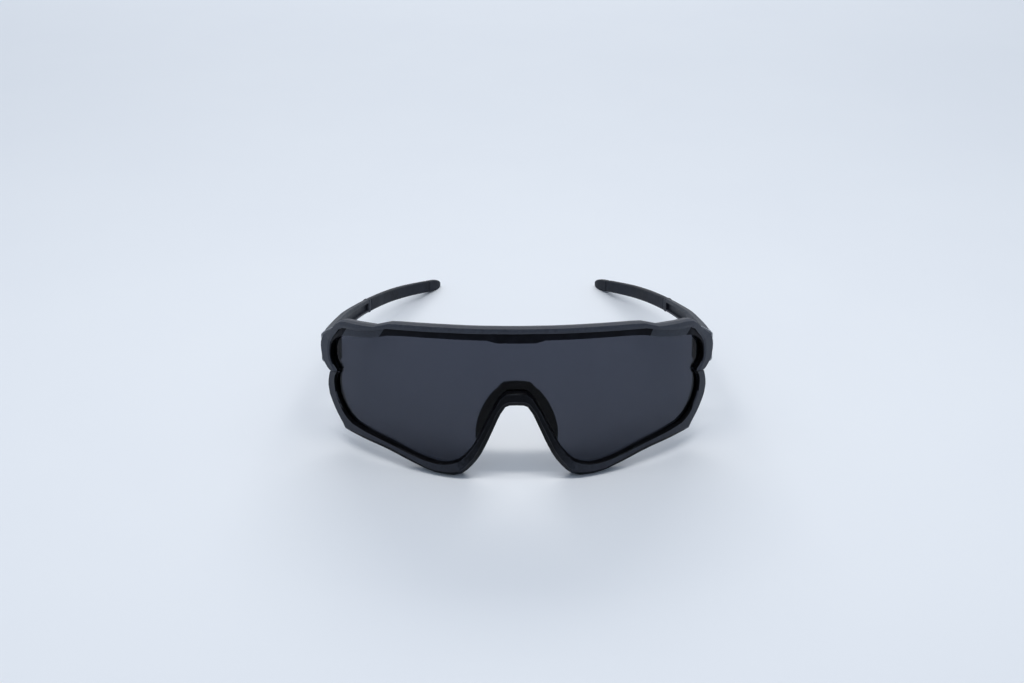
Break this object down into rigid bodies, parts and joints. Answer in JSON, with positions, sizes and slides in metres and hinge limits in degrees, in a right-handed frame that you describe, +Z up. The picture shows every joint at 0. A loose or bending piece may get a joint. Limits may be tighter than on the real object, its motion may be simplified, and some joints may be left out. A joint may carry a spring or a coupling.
{
  "type": "sport sunglasses",
  "caption": "Wraparound sport sunglasses with one tinted shield lens in a two-piece full rim, nose pads and hinged temples with rubber ear socks, standing open.",
  "frame": {"origin": "on the table, midway across the glasses and midway along their overall depth, under the open temples", "axes": "+Z up, front of the lens faces -Y, temples run back along +Y, +X is the viewer's right when facing the lens"},
  "size_m": [0.1456, 0.1582, 0.0563],
  "materials": {
    "frame_matte_black": "matte",
    "rim_satin_black": "satin",
    "lens_smoke": "polished",
    "carrier_black": "matte",
    "pad_rubber": "matte",
    "temple_matte_black": "matte",
    "trim_satin_grey": "satin",
    "sock_rubber": "matte",
    "tip_rubber": "matte",
    "screw_steel": "satin",
    "bush_nylon": "matte",
    "insert_brass": "satin"
  },
  "bodies": {
    "front": {"upper_frame": "frame_matte_black", "lower_rim": "rim_satin_black", "shield_lens": "lens_smoke", "nose_carrier": "carrier_black", "nose_pad_left": "pad_rubber", "nose_pad_right": "pad_rubber", "hinge_screw_left": "screw_steel", "hinge_screw_right": "screw_steel", "hinge_insert_left": "insert_brass", "hinge_insert_right": "insert_brass"},
    "left_temple": {"temple_left": "temple_matte_black", "temple_trim_left": "trim_satin_grey", "ear_sock_left": "sock_rubber", "temple_tip_left": "tip_rubber", "hinge_bush_left": "bush_nylon"},
    "right_temple": {"temple_right": "temple_matte_black", "temple_trim_right": "trim_satin_grey", "ear_sock_right": "sock_rubber", "temple_tip_right": "tip_rubber", "hinge_bush_right": "bush_nylon"}
  },
  "joints": [
    {"name": "temple_left_fold", "type": "hinge", "parent": "front", "child": "left_temple", "pos_m": [-0.0677, -0.03544, 0.0308], "axis": [0, -0.2672, -0.9636], "range_deg": [0, 81]},
    {"name": "temple_right_fold", "type": "hinge", "parent": "front", "child": "right_temple", "pos_m": [0.0677, -0.03544, 0.0308], "axis": [0, 0.2672, 0.9636], "range_deg": [0, 69]}
  ]
}
